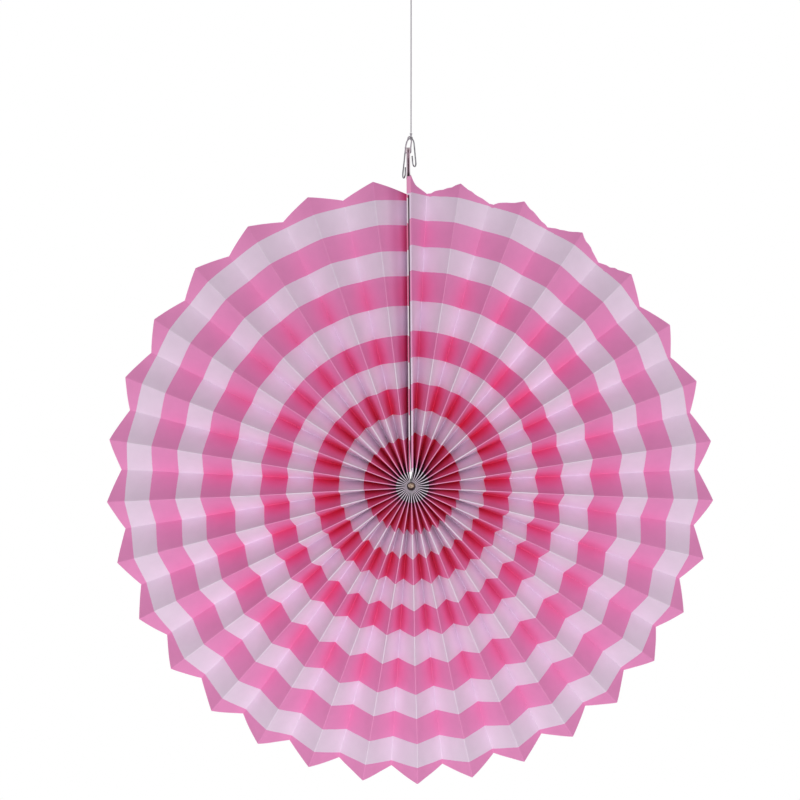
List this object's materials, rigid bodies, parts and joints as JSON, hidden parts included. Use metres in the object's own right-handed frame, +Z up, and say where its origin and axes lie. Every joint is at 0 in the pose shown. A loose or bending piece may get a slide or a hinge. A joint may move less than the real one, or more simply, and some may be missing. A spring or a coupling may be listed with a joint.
{
  "type": "hanging paper fan",
  "caption": "Round hanging fan of pleated paper in pink and white rings, tied by its two card tabs to a bent paper clip on a taut cord with a loop.",
  "frame": {"origin": "inside the top of the cord's hanging loop, where it bears on its hook", "axes": "+Z up along the taut cord, -Y to the front of the fan, +X to the right seen from the front"},
  "size_m": [0.3994, 0.0224, 0.5438],
  "materials": {
    "paper": "matte",
    "card": "matte",
    "glue": "satin",
    "thread": "matte",
    "wire": "satin",
    "cord": "matte"
  },
  "bodies": {
    "cord": {"hanging_loop": "cord", "loop_knot": "cord", "hanging_cord": "cord"},
    "eye": {"cord_eye": "cord"},
    "clip": {"wire_clip": "wire", "thread_ring": "thread"},
    "fan": {"left_end_card": "card", "left_glued_panel": "paper", "hub_plug": "glue"},
    "right_end": {"right_end_card": "card", "right_glued_panel": "paper", "right_free_panel": "paper"},
    "pleat_01": {"paper_pleat_01": "paper"},
    "pleat_02": {"paper_pleat_02": "paper"},
    "pleat_03": {"paper_pleat_03": "paper"},
    "pleat_04": {"paper_pleat_04": "paper"},
    "pleat_05": {"paper_pleat_05": "paper"},
    "pleat_06": {"paper_pleat_06": "paper"},
    "pleat_07": {"paper_pleat_07": "paper"},
    "pleat_08": {"paper_pleat_08": "paper"},
    "pleat_09": {"paper_pleat_09": "paper"},
    "pleat_10": {"paper_pleat_10": "paper"},
    "pleat_11": {"paper_pleat_11": "paper"},
    "pleat_12": {"paper_pleat_12": "paper"},
    "pleat_13": {"paper_pleat_13": "paper"},
    "pleat_14": {"paper_pleat_14": "paper"},
    "pleat_15": {"paper_pleat_15": "paper"},
    "pleat_16": {"paper_pleat_16": "paper"},
    "pleat_17": {"paper_pleat_17": "paper"},
    "pleat_18": {"paper_pleat_18": "paper"},
    "pleat_19": {"paper_pleat_19": "paper"},
    "pleat_20": {"paper_pleat_20": "paper"},
    "pleat_21": {"paper_pleat_21": "paper"},
    "pleat_22": {"paper_pleat_22": "paper"},
    "pleat_23": {"paper_pleat_23": "paper"},
    "pleat_24": {"paper_pleat_24": "paper"},
    "pleat_25": {"paper_pleat_25": "paper"},
    "pleat_26": {"paper_pleat_26": "paper"},
    "pleat_27": {"paper_pleat_27": "paper"},
    "pleat_28": {"paper_pleat_28": "paper"},
    "pleat_29": {"paper_pleat_29": "paper"},
    "pleat_30": {"paper_pleat_30": "paper"},
    "pleat_31": {"paper_pleat_31": "paper"}
  },
  "joints": [
    {"name": "cord_spin", "type": "hinge", "parent": "cord", "child": "eye", "pos_m": [0, -0.00128, -0.1127], "axis": [0, 0, 1], "continuous": true},
    {"name": "clip_swing", "type": "hinge", "parent": "eye", "child": "clip", "pos_m": [0, -0.00128, -0.1163], "axis": [-0.454, 0.891, 0], "range_deg": [-25, 25]},
    {"name": "fan_tilt", "type": "hinge", "parent": "clip", "child": "fan", "pos_m": [-0.00188, 0, -0.12552], "axis": [1, 0, 0], "range_deg": [-15, 15]},
    {"name": "fan_fold", "type": "hinge", "parent": "fan", "child": "right_end", "pos_m": [0, 0, -0.34301], "axis": [0, 1, 0], "range_deg": [0, 340], "deforming": ["paper_pleat_01", "paper_pleat_02", "paper_pleat_03", "paper_pleat_04", "paper_pleat_05", "paper_pleat_06", "paper_pleat_07", "paper_pleat_08", "paper_pleat_09", "paper_pleat_10", "paper_pleat_11", "paper_pleat_12", "paper_pleat_13", "paper_pleat_14", "paper_pleat_15", "paper_pleat_16", "paper_pleat_17", "paper_pleat_18", "paper_pleat_19", "paper_pleat_20", "paper_pleat_21", "paper_pleat_22", "paper_pleat_23", "paper_pleat_24", "paper_pleat_25", "paper_pleat_26", "paper_pleat_27", "paper_pleat_28", "paper_pleat_29", "paper_pleat_30", "paper_pleat_31", "right_free_panel", "thread_ring"]},
    {"name": "pleat_01_turn", "type": "hinge", "parent": "fan", "child": "pleat_01", "pos_m": [0, 0, -0.34301], "axis": [0, 1, 0], "range_deg": [0, 330.69]},
    {"name": "pleat_02_turn", "type": "hinge", "parent": "fan", "child": "pleat_02", "pos_m": [0, 0, -0.34301], "axis": [0, 1, 0], "range_deg": [0, 318.99]},
    {"name": "pleat_03_turn", "type": "hinge", "parent": "fan", "child": "pleat_03", "pos_m": [0, 0, -0.34301], "axis": [0, 1, 0], "range_deg": [0, 307.39]},
    {"name": "pleat_04_turn", "type": "hinge", "parent": "fan", "child": "pleat_04", "pos_m": [0, 0, -0.34301], "axis": [0, 1, 0], "range_deg": [0, 295.93]},
    {"name": "pleat_05_turn", "type": "hinge", "parent": "fan", "child": "pleat_05", "pos_m": [0, 0, -0.34301], "axis": [0, 1, 0], "range_deg": [0, 284.62]},
    {"name": "pleat_06_turn", "type": "hinge", "parent": "fan", "child": "pleat_06", "pos_m": [0, 0, -0.34301], "axis": [0, 1, 0], "range_deg": [0, 273.49]},
    {"name": "pleat_07_turn", "type": "hinge", "parent": "fan", "child": "pleat_07", "pos_m": [0, 0, -0.34301], "axis": [0, 1, 0], "range_deg": [0, 262.55]},
    {"name": "pleat_08_turn", "type": "hinge", "parent": "fan", "child": "pleat_08", "pos_m": [0, 0, -0.34301], "axis": [0, 1, 0], "range_deg": [0, 251.8]},
    {"name": "pleat_09_turn", "type": "hinge", "parent": "fan", "child": "pleat_09", "pos_m": [0, 0, -0.34301], "axis": [0, 1, 0], "range_deg": [0, 241.25]},
    {"name": "pleat_10_turn", "type": "hinge", "parent": "fan", "child": "pleat_10", "pos_m": [0, 0, -0.34301], "axis": [0, 1, 0], "range_deg": [0, 230.87]},
    {"name": "pleat_11_turn", "type": "hinge", "parent": "fan", "child": "pleat_11", "pos_m": [0, 0, -0.34301], "axis": [0, 1, 0], "range_deg": [0, 220.66]},
    {"name": "pleat_12_turn", "type": "hinge", "parent": "fan", "child": "pleat_12", "pos_m": [0, 0, -0.34301], "axis": [0, 1, 0], "range_deg": [0, 210.58]},
    {"name": "pleat_13_turn", "type": "hinge", "parent": "fan", "child": "pleat_13", "pos_m": [0, 0, -0.34301], "axis": [0, 1, 0], "range_deg": [0, 200.61]},
    {"name": "pleat_14_turn", "type": "hinge", "parent": "fan", "child": "pleat_14", "pos_m": [0, 0, -0.34301], "axis": [0, 1, 0], "range_deg": [0, 190.7]},
    {"name": "pleat_15_turn", "type": "hinge", "parent": "fan", "child": "pleat_15", "pos_m": [0, 0, -0.34301], "axis": [0, 1, 0], "range_deg": [0, 180.83]},
    {"name": "pleat_16_turn", "type": "hinge", "parent": "fan", "child": "pleat_16", "pos_m": [0, 0, -0.34301], "axis": [0, 1, 0], "range_deg": [0, 170.95]},
    {"name": "pleat_17_turn", "type": "hinge", "parent": "fan", "child": "pleat_17", "pos_m": [0, 0, -0.34301], "axis": [0, 1, 0], "range_deg": [0, 161.03]},
    {"name": "pleat_18_turn", "type": "hinge", "parent": "fan", "child": "pleat_18", "pos_m": [0, 0, -0.34301], "axis": [0, 1, 0], "range_deg": [0, 151.02]},
    {"name": "pleat_19_turn", "type": "hinge", "parent": "fan", "child": "pleat_19", "pos_m": [0, 0, -0.34301], "axis": [0, 1, 0], "range_deg": [0, 140.89]},
    {"name": "pleat_20_turn", "type": "hinge", "parent": "fan", "child": "pleat_20", "pos_m": [0, 0, -0.34301], "axis": [0, 1, 0], "range_deg": [0, 130.62]},
    {"name": "pleat_21_turn", "type": "hinge", "parent": "fan", "child": "pleat_21", "pos_m": [0, 0, -0.34301], "axis": [0, 1, 0], "range_deg": [0, 120.18]},
    {"name": "pleat_22_turn", "type": "hinge", "parent": "fan", "child": "pleat_22", "pos_m": [0, 0, -0.34301], "axis": [0, 1, 0], "range_deg": [0, 109.56]},
    {"name": "pleat_23_turn", "type": "hinge", "parent": "fan", "child": "pleat_23", "pos_m": [0, 0, -0.34301], "axis": [0, 1, 0], "range_deg": [0, 98.74]},
    {"name": "pleat_24_turn", "type": "hinge", "parent": "fan", "child": "pleat_24", "pos_m": [0, 0, -0.34301], "axis": [0, 1, 0], "range_deg": [0, 87.73]},
    {"name": "pleat_25_turn", "type": "hinge", "parent": "fan", "child": "pleat_25", "pos_m": [0, 0, -0.34301], "axis": [0, 1, 0], "range_deg": [0, 76.53]},
    {"name": "pleat_26_turn", "type": "hinge", "parent": "fan", "child": "pleat_26", "pos_m": [0, 0, -0.34301], "axis": [0, 1, 0], "range_deg": [0, 65.16]},
    {"name": "pleat_27_turn", "type": "hinge", "parent": "fan", "child": "pleat_27", "pos_m": [0, 0, -0.34301], "axis": [0, 1, 0], "range_deg": [0, 53.65]},
    {"name": "pleat_28_turn", "type": "hinge", "parent": "fan", "child": "pleat_28", "pos_m": [0, 0, -0.34301], "axis": [0, 1, 0], "range_deg": [0, 42.01]},
    {"name": "pleat_29_turn", "type": "hinge", "parent": "fan", "child": "pleat_29", "pos_m": [0, 0, -0.34301], "axis": [0, 1, 0], "range_deg": [0, 30.28]},
    {"name": "pleat_30_turn", "type": "hinge", "parent": "fan", "child": "pleat_30", "pos_m": [0, 0, -0.34301], "axis": [0, 1, 0], "range_deg": [0, 18.5]},
    {"name": "pleat_31_turn", "type": "hinge", "parent": "fan", "child": "pleat_31", "pos_m": [0, 0, -0.34301], "axis": [0, 1, 0], "range_deg": [0, 6.71]}
  ],
  "couplings": [
    {"joint": "pleat_01_turn", "follows": "fan_fold", "ratio": 0.97203},
    {"joint": "pleat_02_turn", "follows": "fan_fold", "ratio": 0.93762},
    {"joint": "pleat_03_turn", "follows": "fan_fold", "ratio": 0.90351},
    {"joint": "pleat_04_turn", "follows": "fan_fold", "ratio": 0.86979},
    {"joint": "pleat_05_turn", "follows": "fan_fold", "ratio": 0.83653},
    {"joint": "pleat_06_turn", "follows": "fan_fold", "ratio": 0.80379},
    {"joint": "pleat_07_turn", "follows": "fan_fold", "ratio": 0.77162},
    {"joint": "pleat_08_turn", "follows": "fan_fold", "ratio": 0.74001},
    {"joint": "pleat_09_turn", "follows": "fan_fold", "ratio": 0.70897},
    {"joint": "pleat_10_turn", "follows": "fan_fold", "ratio": 0.67845},
    {"joint": "pleat_11_turn", "follows": "fan_fold", "ratio": 0.64841},
    {"joint": "pleat_12_turn", "follows": "fan_fold", "ratio": 0.61877},
    {"joint": "pleat_13_turn", "follows": "fan_fold", "ratio": 0.58943},
    {"joint": "pleat_14_turn", "follows": "fan_fold", "ratio": 0.5603},
    {"joint": "pleat_15_turn", "follows": "fan_fold", "ratio": 0.53127},
    {"joint": "pleat_16_turn", "follows": "fan_fold", "ratio": 0.50221},
    {"joint": "pleat_17_turn", "follows": "fan_fold", "ratio": 0.47302},
    {"joint": "pleat_18_turn", "follows": "fan_fold", "ratio": 0.44359},
    {"joint": "pleat_19_turn", "follows": "fan_fold", "ratio": 0.4138},
    {"joint": "pleat_20_turn", "follows": "fan_fold", "ratio": 0.38359},
    {"joint": "pleat_21_turn", "follows": "fan_fold", "ratio": 0.35289},
    {"joint": "pleat_22_turn", "follows": "fan_fold", "ratio": 0.32164},
    {"joint": "pleat_23_turn", "follows": "fan_fold", "ratio": 0.28982},
    {"joint": "pleat_24_turn", "follows": "fan_fold", "ratio": 0.25744},
    {"joint": "pleat_25_turn", "follows": "fan_fold", "ratio": 0.2245},
    {"joint": "pleat_26_turn", "follows": "fan_fold", "ratio": 0.19107},
    {"joint": "pleat_27_turn", "follows": "fan_fold", "ratio": 0.15719},
    {"joint": "pleat_28_turn", "follows": "fan_fold", "ratio": 0.12296},
    {"joint": "pleat_29_turn", "follows": "fan_fold", "ratio": 0.08847},
    {"joint": "pleat_30_turn", "follows": "fan_fold", "ratio": 0.05383},
    {"joint": "pleat_31_turn", "follows": "fan_fold", "ratio": 0.01915}
  ]
}
